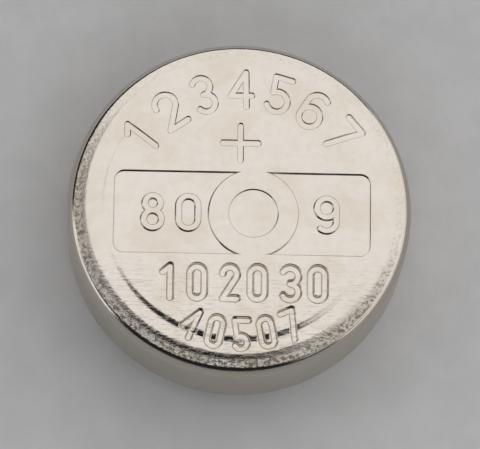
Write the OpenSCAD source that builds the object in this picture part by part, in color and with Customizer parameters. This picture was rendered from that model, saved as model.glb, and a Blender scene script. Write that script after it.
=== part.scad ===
// Silver oxide button cell: a flat round watch cell, 6.8 mm across and 2.6 mm high.
// It lies on its negative cap with the stamped positive face up, as it does on a bench.
// The origin is at the centre of the negative contact face, and +Z points out of the positive face.

/* [Cell] */
// Diameter over the positive can
cell_d = 6.8; // [6.8:0.1:9.5]
// Height over both contact faces
cell_h = 2.6; // [2.6:0.1:3.6]

/* [Positive can] */
// Sheet thickness of the deep-drawn can
can_t = 0.20; // [0.18:0.01:0.25]
// Radius of the plateau in the middle of the positive face
plateau_r = 2.60; // [2.40:0.02:2.64]
// How far the face falls from the plateau to the flat band round it
band_drop = 0.036; // [0.020:0.002:0.040]
// Outside radius of the flat band
band_r = 2.93; // [2.92:0.01:2.95]
// How far the face falls from the band to the border
groove_drop = 0.055; // [0.030:0.005:0.060]
// Radius of the edge between the border and the shoulder
can_edge_r = 0.13; // [0.10:0.01:0.16]
// Radius of the shoulder that runs down into the upright wall
shoulder_round_r = 0.43; // [0.30:0.01:0.50]

/* [Crimp] */
// Outside radius of the rolled-in rim that closes the cell
crimp_r = 0.75; // [0.65:0.01:0.85]
// Angle that the rim is rolled through, from upright towards the cap
crimp_angle = 75; // [60:1:80]
// Height above the negative contact face that the rolled rim curves down to
crimp_lift = 0.08; // [0.04:0.01:0.12]

/* [Sealing gasket] */
// Thickness of the nylon between can and cap
gasket_t = 0.22; // [0.18:0.01:0.24]
// Depth of the visible nylon ring below the cap's contact face
gasket_lift = 0.16; // [0.14:0.01:0.20]

/* [Negative cap] */
// Sheet thickness of the cap
cap_t = 0.15; // [0.12:0.01:0.16]
// Radius of the neck round the flat contact face
neck_r = 2.60; // [2.20:0.05:2.60]
// Radius of the rounded edge of the contact face
neck_edge_r = 0.25; // [0.20:0.01:0.30]

/* [Inner pieces] */
// Thickness of the pressed silver oxide pellet
pellet_h = 0.60; // [0.50:0.05:0.70]
// Thickness of the separator film on the pellet
film_t = 0.08; // [0.05:0.01:0.10]
// Thickness of the electrolyte pad, and of the gasket foot round it
pad_t = 0.22; // [0.18:0.01:0.26]

/* [Stamped marks] */
// Depth of the panel, the plus sign and the middle of the boss
stamp_depth = 0.045; // [0.035:0.005:0.060]
// Depth of the stamped numbers, below the plateau
number_depth = 0.070; // [0.060:0.005:0.090]
// How far the die struck off centre, towards the lower edge of the face
stamp_offset = 0.15; // [0.08:0.01:0.16]
// Height of the numbers in the upper arc
arc_number_h = 0.83; // [0.60:0.01:0.83]
// Length of the recessed panel
panel_l = 5.05; // [4.80:0.05:5.05]
// Width of the recessed panel
panel_w = 1.66; // [1.56:0.02:1.70]

/* [Hidden] */

$fn = 96;
cut = 1;                                // overshoot of a cutting shape
cell_r = cell_d / 2;
bore_r = cell_r - can_t;                // inside of the can wall
bore_edge_r = 0.15;                     // inside corner under the shoulder
crimp_c = [cell_r - crimp_r, crimp_lift + crimp_r];
step_w = 0.16;                          // width of the step round the plateau
groove_w = 0.19;                        // width of the step from the band to the border
border_drop = 0.022;                    // fall of the border to its edge
edge_start = 12;                        // slope of the face where the edge starts
edge_end = 50;                          // slope where the edge runs into the shoulder
wall_top = cell_h - band_drop - groove_drop - border_drop - shoulder_round_r * cos(edge_end)
    - can_edge_r * (cos(edge_start) - cos(edge_end));
shoulder_c = [cell_r - shoulder_round_r, wall_top];
edge_c = shoulder_c + (shoulder_round_r - can_edge_r) * [sin(edge_end), cos(edge_end)];
floor_z = cell_h - can_t;               // inside face of the closed end
film_z = floor_z - pellet_h;            // underside of the pellet
pad_z = film_z - film_t;                // underside of the film
rim_z = pad_z - pad_t;                  // where the cap's rim stands on the gasket foot
skirt_r = bore_r - gasket_t;            // outside of the cap's skirt
shoulder_r = crimp_r - can_t - gasket_t;
fold_t = 2 * cap_t;                     // the skirt is folded back on itself
fold_z = crimp_c[1] + 0.10;             // the folded layer starts here
pad_r = skirt_r - fold_t - 0.08;
pellet_chamfer = 0.15;

can_colour = "gainsboro";
cap_colour = "silver";
gasket_colour = "dimgray";
pellet_colour = "darkslategray";
film_colour = "ivory";
pad_colour = "white";
gel_colour = "slategray";

// ---- Cross-sections: x is the distance from the cell's axis, y is the height ----

// A point on a rounded edge where the surface has turned down by the given slope
function on_edge(at, r, slope) = at + r * [sin(slope), cos(slope)];

// Everything inside the outer surface of the can
module cell_section() {
    union() {
        polygon([
            [0, crimp_lift], [crimp_c[0], crimp_lift], crimp_c, [cell_r, crimp_c[1]],
            for (i = [8 : -1 : 1])
                on_edge(shoulder_c, shoulder_round_r, edge_end + (90 - edge_end) * i / 8),
            for (i = [6 : -1 : 0])
                on_edge(edge_c, can_edge_r, edge_start + (edge_end - edge_start) * i / 6),
            [band_r + groove_w, cell_h - band_drop - groove_drop],
            [band_r, cell_h - band_drop], [plateau_r + step_w, cell_h - band_drop],
            [plateau_r, cell_h], [0, cell_h]]);
        translate(crimp_c) circle(crimp_r);
    }
}

// The room inside the can, down to the end of the rolled-in rim
module bore_section() {
    union() {
        translate([0, crimp_c[1]]) square([bore_r, floor_z - bore_edge_r - crimp_c[1]]);
        translate([0, crimp_c[1]]) square([bore_r - bore_edge_r, floor_z - crimp_c[1]]);
        translate([bore_r - bore_edge_r, floor_z - bore_edge_r]) circle(bore_edge_r);
        translate(crimp_c) circle(crimp_r - can_t);
        translate([0, -cut]) square([crimp_c[0], crimp_c[1] + cut]);
        translate(crimp_c) polygon([[0, 0], [-cut, -cut], [-cut, -2 * cut],
            [2 * cut * cos(crimp_angle), -2 * cut * sin(crimp_angle)]]);
    }
}

module can_section() {
    difference() {
        cell_section();
        bore_section();
    }
}

// Everything inside the outer surface of the cap, grown inwards by inset
module cap_room_section(inset) {
    edge = max(neck_edge_r - inset, 0.02);
    union() {
        translate([0, inset]) square([neck_r - inset - edge, crimp_c[1]]);
        translate([0, inset + edge]) square([neck_r - inset, crimp_c[1]]);
        translate([neck_r - inset - edge, inset + edge]) circle(edge);
        translate([0, crimp_c[1]]) square([skirt_r - inset, rim_z - cap_t - crimp_c[1]]);
        translate([0, crimp_c[1] - shoulder_r + inset]) square([crimp_c[0], shoulder_r]);
        translate(crimp_c) circle(shoulder_r - inset);
    }
}

// Everything inside the cap, with its folded rim
module cap_outline_section() {
    union() {
        cap_room_section(0);
        translate([skirt_r - fold_t / 2, rim_z - cap_t]) circle(fold_t / 2);
        translate([0, crimp_c[1]]) square([skirt_r - fold_t / 2, rim_z - crimp_c[1]]);
    }
}

// The hollow of the cap, which the anode fills
module cap_hollow_section() {
    union() {
        intersection() {
            cap_room_section(cap_t);
            square([cell_r, fold_z]);
        }
        translate([0, crimp_c[1]]) square([skirt_r - fold_t, cell_h]);
    }
}

module revolve() {
    rotate_extrude() children();
}

// ---- Stamped numbers: single strokes with round ends, drawn on a figure one unit high ----

line_w = 0.12;                          // width of a stamped line
wide = 0.25;                            // radius of the round parts of a figure
narrow = 0.19;
mid_h = 0.43;                           // half the height between the middles of the lines

module line_end(at, turn, w) {
    translate(at) rotate(turn) circle(w / 2, $fn = 12);
}

module stroke(from, to, w) {
    run = to - from;
    turn = atan2(run[1], run[0]);
    line_end(from, turn, w);
    line_end(to, turn, w);
    translate(from) rotate(turn) translate([0, -w / 2]) square([norm(run), w]);
}

// Part of a ring, from one angle up to a larger one
module arc_band(at, r, from, to, w) {
    steps = ceil((to - from) / 15);
    turn = (to - from) / steps;
    translate(at) polygon([
        for (i = [0 : steps]) (r + w / 2) * [cos(from + i * turn), sin(from + i * turn)],
        for (i = [steps : -1 : 0]) (r - w / 2) * [cos(from + i * turn), sin(from + i * turn)]]);
}

module bow(at, r, from, to, w) {
    arc_band(at, r, from, to, w);
    line_end(at + r * [cos(from), sin(from)], from, w);
    line_end(at + r * [cos(to), sin(to)], to, w);
}

module ring(at, r, w) {
    arc_band(at, r, 0, 180, w);
    arc_band(at, r, 180, 360, w);
}

// One figure, one unit high over its lines when w is 1 - 2 * mid_h, with bows of radius a
module figure(n, w, a) {
    b = mid_h;
    k = mid_h - a;                      // height of the bows' centres
    if (n == 0) {
        bow([0, k], a, 0, 180, w);
        bow([0, -k], a, 180, 360, w);
        stroke([-a, -k], [-a, k], w);
        stroke([a, -k], [a, k], w);
    } else if (n == 1) {
        stroke([0.02, -b], [0.02, b], w);
        stroke([0.02, b], [-0.18, b - 0.16], w);
    } else if (n == 2) {
        bow([0, k], a, -40, 180, w);
        stroke([a * cos(-40), k + a * sin(-40)], [-a, -b], w);
        stroke([-a, -b], [a, -b], w);
    } else if (n == 3) {
        bow([0, b / 2], b / 2, -90, 150, w);
        bow([0, -b / 2], b / 2, -150, 90, w);
    } else if (n == 4) {
        stroke([0.12, b], [-a, -0.16], w);
        stroke([-a, -0.16], [a, -0.16], w);
        stroke([0.12, b], [0.12, -b], w);
    } else if (n == 5) {
        stroke([0.22, b], [-0.19, b], w);
        stroke([-0.19, b], [a * cos(125), -k + a * sin(125)], w);
        bow([0, -k], a, -150, 125, w);
    } else if (n == 6) {
        ring([0, -k], a, w);
        bow([0, k], a, 50, 180, w);
        stroke([-a, -k], [-a, k], w);
    } else if (n == 7) {
        stroke([-a, b], [a, b], w);
        stroke([a, b], [-0.08, -b], w);
    } else if (n == 8) {
        ring([0, b - 0.20], 0.20, w);
        ring([0, 0.23 - b], 0.23, w);
    } else {
        rotate(180) figure(6, w, a);
    }
}

module number(n, height, a = wide) {
    scale(height) figure(n, line_w / height, a);
}

// ---- Layout of the stamped face: plain numbers in rows, a polarity sign and a panel ----

arc_r = 2.54;                           // middle of the upper numbers
arc_start = 142.4;
arc_step = 17.1;
lower_r = 2.44;
lower_start = 246.2;
lower_step = 11.9;
lower_h = 0.65;
row_at = [0.04, -1.41];
row_h = 0.74;
row_step = 1.18;                        // from one pair of figures to the next
pair_step = 0.54;                       // from the first figure of a pair to the second
plus_at = [-0.05, 1.43];
plus_size = 0.70;
panel_edge_r = 0.20;
boss_x = 0.22;
boss_r = 0.885;
disc_r = 0.485;
panel_number_h = 0.76;

module upper_numbers() {
    for (i = [0 : 6])
        rotate(arc_start - i * arc_step - 90) translate([0, arc_r]) number(i + 1, arc_number_h);
}

module lower_numbers() {
    marks = [4, 0, 5, 0, 7];
    for (i = [0 : 4])
        rotate(lower_start + i * lower_step + 90) translate([0, -lower_r])
            number(marks[i], lower_h, narrow);
}

module row_numbers() {
    for (i = [0 : 2]) {
        pair_at = row_at + [(i - 1) * row_step, 0];
        translate(pair_at - [pair_step / 2, 0]) number(i + 1, row_h, narrow);
        translate(pair_at + [pair_step / 2, 0]) number(0, row_h, narrow);
    }
}

module plus_sign() {
    stroke(plus_at - [plus_size / 2, 0], plus_at + [plus_size / 2, 0], line_w);
    stroke(plus_at - [0, plus_size / 2], plus_at + [0, plus_size / 2], line_w);
}

module panel_blank() {
    x = panel_l / 2 - panel_edge_r;
    y = panel_w / 2 - panel_edge_r;
    square([panel_l, 2 * y], center = true);
    square([2 * x, panel_w], center = true);
    for (sx = [-1, 1], sy = [-1, 1]) translate([sx * x, sy * y]) circle(panel_edge_r, $fn = 36);
}

// The panel is sunk round three raised numbers and a round boss with a sunk middle
module panel() {
    difference() {
        panel_blank();
        translate([boss_x, 0]) circle(boss_r);
        translate([-1.76, 0]) number(8, panel_number_h);
        translate([-1.06, 0]) number(0, panel_number_h);
        translate([1.66, 0]) number(9, panel_number_h);
    }
    translate([boss_x, 0]) circle(disc_r);
}

module stamping() {
    translate([0.05, -stamp_offset, cell_h - number_depth]) linear_extrude(number_depth + cut) {
        upper_numbers();
        lower_numbers();
        row_numbers();
    }
    translate([0.05, -stamp_offset, cell_h - stamp_depth]) linear_extrude(stamp_depth + cut) {
        plus_sign();
        panel();
    }
}

// ---- The pieces ----

// Deep-drawn nickel-plated steel cup: stamped closed end on top, open end rolled in below
module positive_can() {
    color(can_colour) difference() {
        revolve() can_section();
        stamping();
    }
}

// Pressed silver oxide pellet, chamfered to seat in the can's rounded corner
module cathode_pellet() {
    color(pellet_colour) revolve() polygon([
        [0, film_z], [bore_r, film_z], [bore_r, floor_z - pellet_chamfer],
        [bore_r - pellet_chamfer, floor_z], [0, floor_z]]);
}

module separator_film() {
    color(film_colour) translate([0, 0, pad_z]) cylinder(h = film_t, r = bore_r);
}

// Electrolyte pad inside the ring of the gasket foot
module absorbent_pad() {
    color(pad_colour) translate([0, 0, rim_z]) cylinder(h = pad_t, r = pad_r);
}

module anode_gel() {
    color(gel_colour) revolve() intersection() {
        cap_hollow_section();
        translate([0, cap_t]) square([cell_r, rim_z - cap_t]);
    }
}

// Clad steel cup with a flat contact face, a stepped shoulder and a folded double rim
module negative_cap() {
    color(cap_colour) revolve() difference() {
        cap_outline_section();
        cap_hollow_section();
    }
}

// Moulded nylon ring: a foot under the cap's rim, a sleeve round its skirt, and a lip
// that the can's rolled rim presses onto the cap's shoulder
module gasket() {
    color(gasket_colour) revolve() difference() {
        intersection() {
            cell_section();
            translate([neck_r, gasket_lift]) square([cell_r, pad_z - gasket_lift]);
        }
        can_section();
        cap_outline_section();
        translate([0, crimp_c[1]]) square([pad_r, cell_h]);
    }
}

positive_can();
cathode_pellet();
separator_film();
absorbent_pad();
anode_gel();
negative_cap();
gasket();
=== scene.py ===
import math

import bmesh
import bpy
from mathutils import Matrix, Vector


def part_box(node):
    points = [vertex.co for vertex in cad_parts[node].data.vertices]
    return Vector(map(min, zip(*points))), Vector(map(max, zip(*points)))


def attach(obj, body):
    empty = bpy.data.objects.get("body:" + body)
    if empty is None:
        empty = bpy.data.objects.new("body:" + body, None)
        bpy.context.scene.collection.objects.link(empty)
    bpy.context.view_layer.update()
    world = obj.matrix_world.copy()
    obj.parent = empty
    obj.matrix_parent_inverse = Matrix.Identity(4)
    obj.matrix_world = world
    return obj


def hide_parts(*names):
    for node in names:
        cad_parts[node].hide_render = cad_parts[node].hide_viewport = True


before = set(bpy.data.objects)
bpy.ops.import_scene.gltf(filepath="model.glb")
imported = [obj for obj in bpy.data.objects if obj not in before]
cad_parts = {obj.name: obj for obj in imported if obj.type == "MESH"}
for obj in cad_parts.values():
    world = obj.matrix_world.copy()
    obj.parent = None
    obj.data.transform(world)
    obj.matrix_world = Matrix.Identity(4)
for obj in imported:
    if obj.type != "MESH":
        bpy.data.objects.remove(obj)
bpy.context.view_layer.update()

# ---- Positive can ------------------------------------------------------------
# A cup deep drawn from nickel-plated steel sheet. It stands upside down, with its
# closed end up as the positive contact, and its open rim is rolled in under the cap.

MM = 0.001
can_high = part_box("positive_can")[1]
cell_r = can_high[0] / MM
cell_h = can_high[2] / MM
can_t = 0.20
bore_r = cell_r - can_t
bore_edge_r = 0.15
plateau_r = 2.61            # flat stamped middle of the closed end
step_w, step_drop = 0.16, 0.032         # step down to the smooth band round it
band_r = 2.93               # outside of that band
groove_w, groove_drop = 0.19, 0.021     # second step, down to the rubbed border
border_r = 3.05             # from here the face slopes down to the edge
edge_r = 0.13               # rounded edge between the border and the shoulder
edge_start, edge_end = 12, 50           # slopes, in degrees, where it starts and ends
round_r = 0.43              # shoulder, from that edge down into the wall
crimp_r, crimp_angle = 0.75, 75         # rolled rim: its outside radius, and how far it turns
crimp_x, crimp_z = cell_r - crimp_r, 0.83


def arc(x, z, radius, start, end, steps):
    """Points of an arc in a cross-section: x from the axis, z up, angles in degrees."""
    turn = (end - start) / steps
    angles = [math.radians(start + i * turn) for i in range(steps + 1)]
    return [(x + radius * math.cos(a), z + radius * math.sin(a)) for a in angles]


def eased(part):
    """Goes from 0 to 1 as the part does, and starts and ends level."""
    part = min(max(part, 0), 1)
    return 3 * part ** 2 - 2 * part ** 3


def face_fall(radius):
    """How far the face lies below its plateau, at a distance from the axis."""
    slope = math.tan(math.radians(edge_start))
    return (step_drop * eased((radius - plateau_r) / step_w)
            + groove_drop * eased((radius - band_r) / groove_w)
            + slope * max(radius - border_r, 0))


def face_points(start, end, count):
    """Points of the closed end's cross-section."""
    places = [start + (end - start) * i / count for i in range(count + 1)]
    return [(x, cell_h - face_fall(x)) for x in places]


def turned(outline, slices=256):
    """A closed bmesh revolved round Z from a cross-section outline in millimetres."""
    bm = bmesh.new()
    corners = [bm.verts.new((x * MM, 0, z * MM)) for x, z in outline]
    lines = [bm.edges.new(pair) for pair in zip(corners, corners[1:])]
    bmesh.ops.spin(bm, geom=corners + lines, cent=(0, 0, 0), axis=(0, 0, 1),
                   angle=2 * math.pi, steps=slices, use_merge=True, use_duplicate=False)
    bmesh.ops.remove_doubles(bm, verts=bm.verts, dist=1e-8)
    rim = [edge for edge in bm.edges if edge.is_boundary]
    if rim:
        bmesh.ops.edgeloop_fill(bm, edges=rim)
    bmesh.ops.recalc_face_normals(bm, faces=bm.faces)
    return bm


def finished(name, bm, sharp=35):
    """The bmesh as a scene object: curved faces smooth, level faces flat."""
    mesh = bpy.data.meshes.new(name)
    bm.to_mesh(mesh)
    bm.free()
    mesh.set_sharp_from_angle(angle=math.radians(sharp))
    for face in mesh.polygons:
        face.use_smooth = abs(face.normal.z) < 0.99999
    made = bpy.data.objects.new(name, mesh)
    bpy.context.scene.collection.objects.link(made)
    return made


# The rounded edge runs on from the sloping border, and into the shoulder without a step.
start_x, start_z = arc(0, 0, edge_r, 90 - edge_start, 90 - edge_start, 1)[0]
end_x, end_z = arc(0, 0, round_r - edge_r, 90 - edge_end, 90 - edge_end, 1)[0]
edge_x = cell_r - round_r + end_x
edge_z = cell_h - face_fall(edge_x + start_x) - start_z
wall_top = edge_z - end_z
can_outline = (
    face_points(plateau_r, plateau_r + step_w, 8)
    + face_points(band_r, edge_x + start_x, 16)
    + arc(edge_x, edge_z, edge_r, 90 - edge_start, 90 - edge_end, 8)[1:-1]
    + arc(cell_r - round_r, wall_top, round_r, 90 - edge_end, 0, 14)
    + arc(crimp_x, crimp_z, crimp_r, 0, -crimp_angle, 24)
    + arc(crimp_x, crimp_z, crimp_r - can_t, -crimp_angle, 0, 20)
    + arc(bore_r - bore_edge_r, cell_h - can_t - bore_edge_r, bore_edge_r, 0, 90, 6)
    + [(0, cell_h - can_t)])
can_blank = turned(can_outline)

# The die strikes plain numbers, a polarity sign and a panel into the closed end. Each wall
# of a stamped line runs in and down from the sheet by these steps, times its strike.
stamp_x, stamp_y = 0.05, -0.15          # the die strikes a little off centre
wall_steps = [(0.006, 0.002), (0.005, 0.005), (0.006, 0.014), (0.006, 0.018), (0.004, 0.006)]
wall_w = sum(inward for inward, along in wall_steps)
wall_depth = sum(along for inward, along in wall_steps)
light, plain, heavy = 0.75, 1.0, 1.6
clear = 0.02                # how far a die form stands past the surface that it cuts
flare = 0.0005              # how much it narrows on that way
sliver = 0.00001            # edges as short as this are closed up after the cuts


def die_form(bm, outline, strike, raised):
    """Adds a closed form with sloping walls: it sinks from the face, or rises in a panel."""
    way = 1 if raised else -1
    start = cell_h - wall_depth * strike - clear if raised else cell_h + clear
    wall = [(inward * strike, along * strike) for inward, along in wall_steps]
    steps = [(flare, clear)] + wall
    if raised:
        steps = [(flare, clear)] + wall[::-1] + [(flare, clear)]
    corners = [bm.verts.new(((x + stamp_x) * MM, (y + stamp_y) * MM, start * MM))
               for x, y in outline]
    face = bm.faces.new(corners)
    face.normal_update()
    if face.normal.z * way < 0:
        face.normal_flip()
    back = bmesh.ops.duplicate(bm, geom=[face])["geom"]
    bmesh.ops.reverse_faces(bm, faces=[part for part in back
                                       if isinstance(part, bmesh.types.BMFace)])
    for inward, along in steps:
        bmesh.ops.inset_region(bm, faces=[face], thickness=inward * MM, depth=0,
                               use_even_offset=True, use_boundary=True)
        bmesh.ops.translate(bm, verts=list(face.verts), vec=(0, 0, way * along * MM))


def die(outlines, strike=plain, raised=False):
    """A bmesh of die forms that stand clear of each other."""
    bm = bmesh.new()
    for outline in outlines:
        die_form(bm, outline, strike, raised)
    bmesh.ops.remove_doubles(bm, verts=bm.verts, dist=1e-9)
    return bm


def linked(name, bm):
    """The bmesh as an object in the scene."""
    mesh = bpy.data.meshes.new(name)
    bm.to_mesh(mesh)
    bm.free()
    made = bpy.data.objects.new(name, mesh)
    bpy.context.scene.collection.objects.link(made)
    return made


def carved(blank, tools):
    """A new bmesh of the blank with each tool cut out of it in turn."""
    body = linked("blank", blank)
    cutters = [linked("tool", tool) for tool in tools]
    for cutter in cutters:
        cut = body.modifiers.new("cut", "BOOLEAN")
        cut.operation = "DIFFERENCE"
        cut.solver = "MANIFOLD"
        cut.object = cutter
    shown = body.evaluated_get(bpy.context.evaluated_depsgraph_get())
    shape = bpy.data.meshes.new_from_object(shown)
    result = bmesh.new()
    result.from_mesh(shape)
    for old in [body] + cutters:
        old_mesh = old.data
        bpy.data.objects.remove(old)
        bpy.data.meshes.remove(old_mesh)
    bpy.data.meshes.remove(shape)
    bmesh.ops.dissolve_degenerate(result, dist=sliver * MM, edges=result.edges)
    return result


def in_one_piece(bm):
    """The bmesh without the scraps that its cuts left: all that joins its lowest corner."""
    reached = [min(bm.verts, key=lambda vert: vert.co.z)]
    joined = set(reached)
    while reached:
        for edge in reached.pop().link_edges:
            beyond = [vert for vert in edge.verts if vert not in joined]
            joined.update(beyond)
            reached += beyond
    scraps = [vert for vert in bm.verts if vert not in joined or not vert.link_faces]
    bmesh.ops.delete(bm, geom=scraps, context="VERTS")
    return bm


def in_turn(figures, strike=plain, raised=False):
    """Dies for the first line of every figure, then for the second, and so on."""
    most = max(len(lines) for lines in figures)
    return [die([lines[i] for lines in figures if i < len(lines)], strike, raised)
            for i in range(most)]


def between(start, end, spacing=0.15):
    """Points along a straight line, without its ends."""
    (x0, y0), (x1, y1) = start, end
    count = int(math.hypot(x1 - x0, y1 - y0) / spacing) + 1
    return [(x0 + (x1 - x0) * i / count, y0 + (y1 - y0) * i / count) for i in range(1, count)]


def from_to(start, end, width, steps=8):
    """Outline of a straight line with round ends."""
    (x0, y0), (x1, y1) = start, end
    heading = math.degrees(math.atan2(y1 - y0, x1 - x0))
    far_end = arc(x1, y1, width / 2, heading - 90, heading + 90, steps)
    near_end = arc(x0, y0, width / 2, heading + 90, heading + 270, steps)
    return (far_end + between(far_end[-1], near_end[0])
            + near_end + between(near_end[-1], far_end[0]))


def follow_face(tools):
    """Lowers the die forms with the steps of the face, so that they cut equally deep."""
    for bm in tools:
        for vert in bm.verts:
            vert.co.z -= MM * face_fall(math.hypot(vert.co.x, vert.co.y) / MM)
    return tools


def bow(x, y, radius, start, end, width):
    """Outline of an arc-shaped line with round ends."""
    steps = max(6, int((end - start) / 6))
    far_end = arc(x, y, radius, end, end, 1)[0]
    near_end = arc(x, y, radius, start, start, 1)[0]
    return (arc(x, y, radius + width / 2, start, end, steps)
            + arc(*far_end, width / 2, end, end + 180, 8)[1:-1]
            + arc(x, y, radius - width / 2, end, start, steps)
            + arc(*near_end, width / 2, start + 180, start + 360, 8)[1:-1])


def figure(n, width, a=0.25):
    """Line outlines of a plain number, one unit high, about its middle."""
    b = 0.43                # half height between line middles; a is the bows' radius
    k = b - a
    if n == 0:
        return [bow(0, k, a, 0, 180, width), bow(0, -k, a, 180, 360, width),
                from_to((-a, -k), (-a, k), width), from_to((a, -k), (a, k), width)]
    if n == 1:
        return [from_to((0.02, -b), (0.02, b), width),
                from_to((0.02, b), (-0.18, b - 0.16), width)]
    if n == 2:
        turn_end = arc(0, k, a, -40, -40, 1)[0]
        return [bow(0, k, a, -40, 180, width), from_to(turn_end, (-a, -b), width),
                from_to((-a, -b), (a, -b), width)]
    if n == 3:
        return [bow(0, b / 2, b / 2, -90, 150, width), bow(0, -b / 2, b / 2, -150, 90, width)]
    if n == 4:
        return [from_to((0.12, b), (-a, -0.16), width), from_to((-a, -0.16), (a, -0.16), width),
                from_to((0.12, b), (0.12, -b), width)]
    if n == 5:
        turn_end = arc(0, -k, a, 125, 125, 1)[0]
        return [from_to((0.22, b), (-0.19, b), width), from_to((-0.19, b), turn_end, width),
                bow(0, -k, a, -150, 125, width)]
    if n == 6:
        return [bow(0, -k, a, 0, 180, width), bow(0, -k, a, 180, 360, width),
                bow(0, k, a, 50, 180, width), from_to((-a, -k), (-a, k), width)]
    if n == 7:
        return [from_to((-a, b), (a, b), width), from_to((a, b), (-0.08, -b), width)]
    if n == 8:
        return [bow(0, b - 0.20, 0.20, 0, 180, width), bow(0, b - 0.20, 0.20, 180, 360, width),
                bow(0, 0.23 - b, 0.23, 0, 180, width), bow(0, 0.23 - b, 0.23, 180, 360, width)]
    return [[(-x, -y) for x, y in outline] for outline in figure(6, width, a)]


def number(n, height, line_w, x, y, turn=0, strike=plain, a=0.25):
    """A number's line outlines in millimetres, turned and then moved to x, y."""
    cos_t, sin_t = math.cos(math.radians(turn)), math.sin(math.radians(turn))
    grown = (line_w + wall_w * strike) / height
    return [[(x + height * (u * cos_t - v * sin_t), y + height * (u * sin_t + v * cos_t))
             for u, v in outline] for outline in figure(n, grown, a)]


# The panel is sunk round three raised numbers and a round boss with a sunk middle.
line_w, row_line_w = 0.12, 0.13
panel_l, panel_w, panel_edge_r = 5.05, 1.66, 0.20
boss_x, boss_r, disc_r = 0.22, 0.885, 0.485
panel_number_h = 0.76
side_x = panel_l / 2 - panel_edge_r
side_y = panel_w / 2 - panel_edge_r
spread = wall_w / 2
panel_outline = (arc(side_x, side_y, panel_edge_r + spread, 0, 90, 8)
                 + arc(-side_x, side_y, panel_edge_r + spread, 90, 180, 8)
                 + arc(-side_x, -side_y, panel_edge_r + spread, 180, 270, 8)
                 + arc(side_x, -side_y, panel_edge_r + spread, 270, 360, 8))
boss_outline = arc(boss_x, 0, boss_r + spread, 0, 360, 96)[:-1]
disc_outline = arc(boss_x, 0, disc_r + spread, 0, 360, 72)[:-1]
raised_figures = [number(8, panel_number_h, line_w, -1.76, 0),
                  number(0, panel_number_h, line_w, -1.06, 0),
                  number(9, panel_number_h, line_w, 1.66, 0), [boss_outline]]
panel_die = carved(die([panel_outline]), in_turn(raised_figures, raised=True))

# Numbers in an arc above, in a row below the panel and in a short arc under that.
arc_number_h, arc_r, arc_start, arc_step = 0.83, 2.54, 142.4, 17.1
row_x, row_y, row_h, row_step, pair_step = 0.04, -1.41, 0.74, 1.18, 0.54
lower_r, lower_h, lower_start, lower_step = 2.44, 0.65, 246.2, 11.9
narrow = 0.19
plus_x, plus_y, plus_size = -0.05, 1.43, 0.70


def around(radius, angle):
    """A place on a circle, in millimetres."""
    return arc(0, 0, radius, angle, angle, 1)[0]


light_marks = [[disc_outline]]
for i in range(7):
    angle = arc_start - i * arc_step
    light_marks.append(number(i + 1, arc_number_h, line_w, *around(arc_r, angle), angle - 90,
                              light))
plus_w = line_w + wall_w * light
light_marks.append([from_to((plus_x - plus_size / 2, plus_y), (plus_x + plus_size / 2, plus_y),
                            plus_w),
                    from_to((plus_x, plus_y - plus_size / 2), (plus_x, plus_y + plus_size / 2),
                            plus_w)])

heavy_marks = []
for i in range(3):
    for n, side in ((i + 1, -1), (0, 1)):
        x = row_x + (i - 1) * row_step + side * pair_step / 2
        heavy_marks.append(number(n, row_h, row_line_w, x, row_y, 0, heavy, narrow))
for place, n in enumerate((4, 0, 5, 0, 7)):
    angle = lower_start + place * lower_step
    heavy_marks.append(number(n, lower_h, line_w, *around(lower_r, angle), angle + 90, heavy,
                              narrow))
marks = in_turn(light_marks, light) + in_turn(heavy_marks, heavy)
struck = carved(can_blank, [panel_die] + follow_face(marks))
stamped_can = finished("stamped_can", in_one_piece(struck))
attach(stamped_can, "root")
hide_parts("positive_can")


def node(tree, kind, inputs=None, **settings):
    """Adds a shader node, with its settings, and feeds its sockets."""
    made = tree.nodes.new(kind)
    for key, value in settings.items():
        setattr(made, key, value)
    for socket, source in (inputs or {}).items():
        if isinstance(source, bpy.types.NodeSocket):
            tree.links.new(source, made.inputs[socket])
        else:
            made.inputs[socket].default_value = source
    return made


def sum_of(tree, kind, first, second):
    """The value of a maths node."""
    return node(tree, "ShaderNodeMath", {0: first, 1: second}, operation=kind).outputs[0]


def fade(tree, value, start, end, low=0.0, high=1.0):
    """Goes smoothly from low to high as the value goes from start to end."""
    return node(tree, "ShaderNodeMapRange",
                {"Value": value, "From Min": start, "From Max": end, "To Min": low,
                 "To Max": high}, interpolation_type="SMOOTHSTEP").outputs["Result"]


def grain(tree, place, scale, detail=3.0, rough=0.5):
    """Noise, from about 0 to 1, of the given number of lumps to the millimetre."""
    return node(tree, "ShaderNodeTexNoise",
                {"Vector": place, "Scale": scale, "Detail": detail,
                 "Roughness": rough}).outputs["Fac"]


def stretched(tree, place, scale):
    """The place, scaled differently along each axis."""
    return node(tree, "ShaderNodeMapping", {"Vector": place, "Scale": scale}).outputs["Vector"]


def tint(tree, amount, first, second):
    """A colour between two, by an amount from 0 to 1."""
    mixed = node(tree, "ShaderNodeMix", {0: amount, 6: first, 7: second}, data_type="RGBA")
    return mixed.outputs[2]


def relief(tree, height, depth_mm, under=None):
    """Bumps of a height from 0 to 1 times a depth in millimetres, on those under it."""
    inputs = {"Height": height, "Distance": depth_mm * MM, "Strength": 1.0}
    if under is not None:
        inputs["Normal"] = under
    return node(tree, "ShaderNodeBump", inputs).outputs["Normal"]


def about_zero(tree, noise, mask):
    """Noise about its middle times a mask, so that the mask's edge adds no slope."""
    return sum_of(tree, "MULTIPLY", sum_of(tree, "SUBTRACT", noise, 0.5), mask)


def new_finish(name):
    """A material, its Principled shader, and the place in millimetres."""
    material = bpy.data.materials.new(name)
    material.use_nodes = True
    tree = material.node_tree
    shader = tree.nodes["Principled BSDF"]
    place = node(tree, "ShaderNodeTexCoord").outputs["Object"]
    return material, tree, shader, stretched(tree, place, (1 / MM, 1 / MM, 1 / MM))


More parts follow.
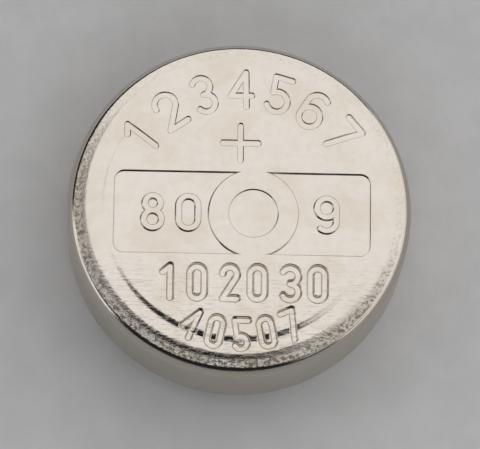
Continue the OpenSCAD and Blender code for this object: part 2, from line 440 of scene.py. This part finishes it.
def stamped_nickel():
    """Nickel plate, struck by a satin die and tumbled, so its edge is pitted."""
    material, tree, shader, place = new_finish("stamped_nickel")
    parts = node(tree, "ShaderNodeSeparateXYZ", {"Vector": place})
    x, y, z = parts.outputs[0], parts.outputs[1], parts.outputs[2]
    flat = node(tree, "ShaderNodeCombineXYZ", {"X": x, "Y": y}).outputs[0]
    radius = node(tree, "ShaderNodeVectorMath", {0: flat}, operation="LENGTH").outputs["Value"]

    # Where the closed end is, the drawn wall, and the front left side, bumpier and with painted
    # shade.
    top = fade(tree, z, 2.37, 2.45)
    top = sum_of(tree, "MULTIPLY", top, fade(tree, radius, 3.26, 3.22))
    wall = fade(tree, radius, 3.29, 3.33)
    lean = sum_of(tree, "ADD", y, sum_of(tree, "MULTIPLY", x, 0.4))
    bumpier_and_shaded_side = sum_of(tree, "MULTIPLY", top, fade(tree, lean, 1.5, -1.7, 0.12, 1))
    edge = sum_of(tree, "MULTIPLY", bumpier_and_shaded_side, fade(tree, radius, 3.04, 3.12))
    border = sum_of(tree, "MULTIPLY", bumpier_and_shaded_side, fade(tree, radius, 2.94, 3.08))
    lower = sum_of(tree, "MULTIPLY", top, fade(tree, y, -0.4, -1.8))
    pressed = sum_of(tree, "MULTIPLY", fade(tree, radius, 3.12, 2.98), fade(tree, lean, 0, -1.8))

    cloud = grain(tree, place, 1.1, 3, 0.55)
    waves = grain(tree, place, 0.9, 2)
    satin = grain(tree, place, 22, 4, 0.7)
    mottle = grain(tree, place, 5, 5, 0.65)
    rubs = grain(tree, stretched(tree, place, (4, 34, 1)), 1.0, 4, 0.65)
    scratches = fade(tree, rubs, 0.52, 0.70)
    strokes = grain(tree, stretched(tree, place, (6, 15, 12)), 1.0, 4, 0.7)
    pits = grain(tree, place, 14, 4, 0.7)

    metal = tint(tree, fade(tree, cloud, 0.42, 0.66), (0.70, 0.655, 0.60, 1),
                 (0.665, 0.61, 0.54, 1))
    metal = tint(tree, fade(tree, mottle, 0.40, 0.66, 0, 0.14), metal, (0.50, 0.46, 0.41, 1))
    # Scratches a little darker everywhere, and darker toward the front as painted shade.
    scratches_and_shade = sum_of(tree, "MULTIPLY", scratches, fade(tree, lower, 0, 1, 0.03, 0.20))
    metal = tint(tree, scratches_and_shade, metal, (0.30, 0.27, 0.24, 1))
    # Dark speckles on the tumbled edge, made darker toward the front left as painted shade.
    metal = tint(tree, sum_of(tree, "MULTIPLY", edge, fade(tree, pits, 0.47, 0.57, 0, 0.85)),
                 metal, (0.22, 0.19, 0.15, 1))
    # Painted shade: the wall's colour is darker, for the shaded floor that it mirrors.
    metal = tint(tree, wall, metal, (0.56, 0.51, 0.455, 1))
    tree.links.new(metal, shader.inputs["Base Color"])
    rough = fade(tree, cloud, 0.3, 0.7, 0.10, 0.15)
    tree.links.new(sum_of(tree, "ADD", rough, sum_of(tree, "MULTIPLY", wall, 0.18)),
                   shader.inputs["Roughness"])
    shader.inputs["Metallic"].default_value = 1.0

    normal = relief(tree, waves, 0.004)
    normal = relief(tree, pressed, 0.015, normal)
    normal = relief(tree, satin, 0.0016, normal)
    normal = relief(tree, sum_of(tree, "MULTIPLY", scratches, lower), 0.0011, normal)
    normal = relief(tree, about_zero(tree, strokes, border), 0.018, normal)
    normal = relief(tree, about_zero(tree, pits, edge), 0.030, normal)
    tree.links.new(normal, shader.inputs["Normal"])
    return material


stamped_can.data.materials.append(stamped_nickel())

# ---- Negative cap ------------------------------------------------------------
# A shallow cup pressed from nickel-faced clad sheet, with its flat face down as the
# negative contact. Its rim is folded back on itself and stands on the gasket's foot.

cap_t = 0.15
neck_r, neck_edge_r = 2.60, 0.25
gasket_t = 0.22
skirt_r = bore_r - gasket_t
shoulder_r = crimp_r - can_t - gasket_t
rim_z = 1.50
fold_t = 2 * cap_t
cap_outline = (
    [(0, 0)]
    + arc(neck_r - neck_edge_r, neck_edge_r, neck_edge_r, -90, 0, 12)
    + [(neck_r, crimp_z - shoulder_r)]
    + arc(crimp_x, crimp_z, shoulder_r, -90, 0, 14)
    + arc(skirt_r - fold_t / 2, rim_z - fold_t / 2, fold_t / 2, 0, 180, 12)
    + [(skirt_r - fold_t, crimp_z + 0.10), (skirt_r - cap_t, crimp_z + 0.10)]
    + arc(crimp_x, crimp_z, shoulder_r - cap_t, 0, -90, 10)
    + [(neck_r - cap_t, crimp_z - shoulder_r + cap_t)]
    + arc(neck_r - neck_edge_r, neck_edge_r, neck_edge_r - cap_t, 0, -90, 8)
    + [(0, cap_t)])
pressed_cap = finished("pressed_cap", turned(cap_outline))
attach(pressed_cap, "root")
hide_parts("negative_cap")


def rubbed_nickel():
    """Smooth nickel face, with faint rings and rubs from its spring contact."""
    material, tree, shader, place = new_finish("rubbed_nickel")
    parts = node(tree, "ShaderNodeSeparateXYZ", {"Vector": place})
    flat = node(tree, "ShaderNodeCombineXYZ", {"X": parts.outputs[0], "Y": parts.outputs[1]})
    radius = node(tree, "ShaderNodeVectorMath", {0: flat.outputs[0]}, operation="LENGTH")
    rings = node(tree, "ShaderNodeCombineXYZ", {"X": radius.outputs["Value"]}).outputs[0]
    cloud = grain(tree, place, 1.4, 4, 0.6)
    rubs = grain(tree, stretched(tree, place, (1.5, 30, 1)), 1.0, 3, 0.6)
    metal = tint(tree, fade(tree, cloud, 0.4, 0.7), (0.68, 0.64, 0.58, 1),
                 (0.60, 0.56, 0.50, 1))
    tree.links.new(metal, shader.inputs["Base Color"])
    tree.links.new(fade(tree, rubs, 0.3, 0.7, 0.22, 0.34), shader.inputs["Roughness"])
    shader.inputs["Metallic"].default_value = 1.0
    normal = relief(tree, grain(tree, rings, 26, 2), 0.0015)
    normal = relief(tree, rubs, 0.0012, normal)
    tree.links.new(relief(tree, grain(tree, place, 30, 3), 0.0005, normal),
                   shader.inputs["Normal"])
    return material


pressed_cap.data.materials.append(rubbed_nickel())

# ---- Gasket ------------------------------------------------------------------
# A moulded nylon ring: a foot under the cap's rim, a sleeve round its skirt, and a lip
# that the can's rolled rim squeezes onto the cap's shoulder, where it shows as a ring.

foot_top = 1.72
foot_r = skirt_r - fold_t - 0.08
lip_z = 0.16
gasket_bulge = 0.02
lip_out = crimp_x + (crimp_z - lip_z) / math.tan(math.radians(crimp_angle))
bore_crimp_r = crimp_r - can_t
gasket_outline = (
    [(neck_r, lip_z)]
    + [((neck_r + lip_out) / 2, lip_z - gasket_bulge)]
    + [(lip_out, lip_z)]
    + arc(crimp_x, crimp_z, bore_crimp_r, -crimp_angle, 0, 18)
    + [(bore_r, foot_top), (foot_r, foot_top), (foot_r, rim_z),
       (skirt_r - fold_t / 2, rim_z)]
    + arc(skirt_r - fold_t / 2, rim_z - fold_t / 2, fold_t / 2, 90, 0, 8)
    + arc(crimp_x, crimp_z, shoulder_r, 0, -90, 14)
    + [(neck_r, crimp_z - shoulder_r), (neck_r, lip_z)])
nylon_gasket = finished("nylon_gasket", turned(gasket_outline))
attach(nylon_gasket, "root")
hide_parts("gasket")


def plain_finish(name, colour, second, rough, scale, depth_mm):
    """A dull surface with a mottled colour and a fine grain."""
    material, tree, shader, place = new_finish(name)
    cloud = grain(tree, place, scale, 4, 0.6)
    tree.links.new(tint(tree, fade(tree, cloud, 0.35, 0.65), colour, second),
                   shader.inputs["Base Color"])
    tree.links.new(fade(tree, cloud, 0.3, 0.7, rough - 0.08, rough + 0.08),
                   shader.inputs["Roughness"])
    tree.links.new(relief(tree, grain(tree, place, scale * 3, 4), depth_mm),
                   shader.inputs["Normal"])
    return material


nylon_gasket.data.materials.append(
    plain_finish("sealed_nylon", (0.10, 0.10, 0.095, 1), (0.06, 0.06, 0.058, 1), 0.45, 4, 0.004))

# ---- Inner pieces ------------------------------------------------------------
# Sealed inside: the zinc gel in the cap, the electrolyte pad, the separator film and
# the pressed silver oxide pellet, each stacked on the one before.


def repaint(name, finish):
    """Gives a CAD piece a finish."""
    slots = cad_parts[name].data.materials
    slots.clear()
    slots.append(finish)


repaint("anode_gel", plain_finish("zinc_gel", (0.36, 0.38, 0.41, 1), (0.26, 0.28, 0.31, 1),
                                  0.5, 12, 0.02))
repaint("absorbent_pad", plain_finish("felted_pad", (0.86, 0.86, 0.84, 1),
                                      (0.74, 0.74, 0.72, 1), 0.85, 9, 0.02))
repaint("separator_film", plain_finish("cellulose_film", (0.85, 0.84, 0.78, 1),
                                       (0.78, 0.76, 0.69, 1), 0.6, 3, 0.004))
repaint("cathode_pellet", plain_finish("pressed_oxide", (0.05, 0.05, 0.055, 1),
                                       (0.025, 0.025, 0.03, 1), 0.7, 14, 0.01))

# ---- Floor -------------------------------------------------------------------
# A sheet of pale grey paper.

floor_size = 600
floor_bm = bmesh.new()
bmesh.ops.create_grid(floor_bm, x_segments=1, y_segments=1, size=floor_size * MM / 2)
floor = linked("paper_floor", floor_bm)
paper, tree, shader, place = new_finish("grey_paper")
fibre = grain(tree, place, 1.2, 5, 0.6)
tree.links.new(tint(tree, fade(tree, fibre, 0.35, 0.65), (0.54, 0.54, 0.545, 1),
                    (0.51, 0.51, 0.515, 1)), shader.inputs["Base Color"])
shader.inputs["Roughness"].default_value = 0.9
shader.inputs["Specular IOR Level"].default_value = 0.2
tree.links.new(relief(tree, grain(tree, place, 2.5, 4), 0.02), shader.inputs["Normal"])
floor.data.materials.append(paper)

# ---- Light and camera --------------------------------------------------------


def softbox(name, centre, aim, width, length, glow, colour=(1, 1, 1)):
    """A rectangular lamp in millimetres, whose surface shines at the given brightness."""
    lamp = bpy.data.lights.new(name, "AREA")
    lamp.shape = "RECTANGLE"
    lamp.size = width * MM
    lamp.size_y = length * MM
    lamp.energy = glow * math.pi * lamp.size * lamp.size_y
    lamp.color = colour
    made = bpy.data.objects.new(name, lamp)
    away = (Vector(centre) - Vector(aim)).normalized()
    level = Vector((-away.y, away.x, 0)) if away.z < 0.999 else Vector((1, 0, 0))
    axes = Matrix((level.normalized(), away.cross(level).normalized(), away)).transposed()
    made.matrix_world = Matrix.Translation(Vector(centre) * MM) @ axes.to_4x4()
    bpy.context.scene.collection.objects.link(made)
    return made


warm = (1.0, 0.985, 0.97)
softbox("overhead", (115, 330, 300), (115, 330, 0), 670, 700, 1.06, warm)
softbox("overhead_left", (-335, 60, 300), (-335, 60, 0), 230, 130, 1.06, warm)
softbox("overhead_right", (270, -100, 300), (270, -100, 0), 350, 160, 0.95, warm)
softbox("front_right", (221, -258, 212), (0, 0, 212), 130, 160, 0.55)
softbox("left_window", (-450, -87, 150), (0, -87, 150), 384, 300, 1.0)
softbox("right_window", (450, 60, 150), (0, 60, 150), 920, 300, 0.9)
fill = softbox("front_fill", (0, -300, 260), (0, 0, 0), 300, 300, 1.9)
fill.visible_glossy = False

world = bpy.data.worlds.new("studio")
bpy.context.scene.world = world
world.use_nodes = True
world.node_tree.nodes["Background"].inputs["Color"].default_value = (1, 1, 1, 1)
world.node_tree.nodes["Background"].inputs["Strength"].default_value = 0.02

camera_azimuth, camera_elevation, camera_roll = -96.1, 74.8, 7.0     # degrees
camera_aim = (0.0459, -0.0351, 1.30)
camera_distance = 70        # from the lens to the level of the stamped face
px_per_mm = 51.0            # at that level
image_w = 480

camera_data = bpy.data.cameras.new("camera")
camera_data.sensor_width = 36
camera_data.lens = px_per_mm * camera_distance / image_w * camera_data.sensor_width
camera_data.clip_start = 0.01
camera_data.clip_end = 10
camera = bpy.data.objects.new("camera", camera_data)
bpy.context.scene.collection.objects.link(camera)
bpy.context.scene.camera = camera
azimuth, elevation = math.radians(camera_azimuth), math.radians(camera_elevation)
outward = Vector((math.cos(azimuth) * math.cos(elevation),
                  math.sin(azimuth) * math.cos(elevation), math.sin(elevation)))
turn = outward.to_track_quat("Z", "Y").to_matrix()
roll = Matrix.Rotation(math.radians(camera_roll), 3, "Z")
rise = (cell_h - camera_aim[2]) / math.sin(elevation)
place = (Vector(camera_aim) + outward * (camera_distance + rise)) * MM
camera.matrix_world = Matrix.Translation(place) @ (turn @ roll).to_4x4()

bpy.context.scene.view_settings.view_transform = "Standard"
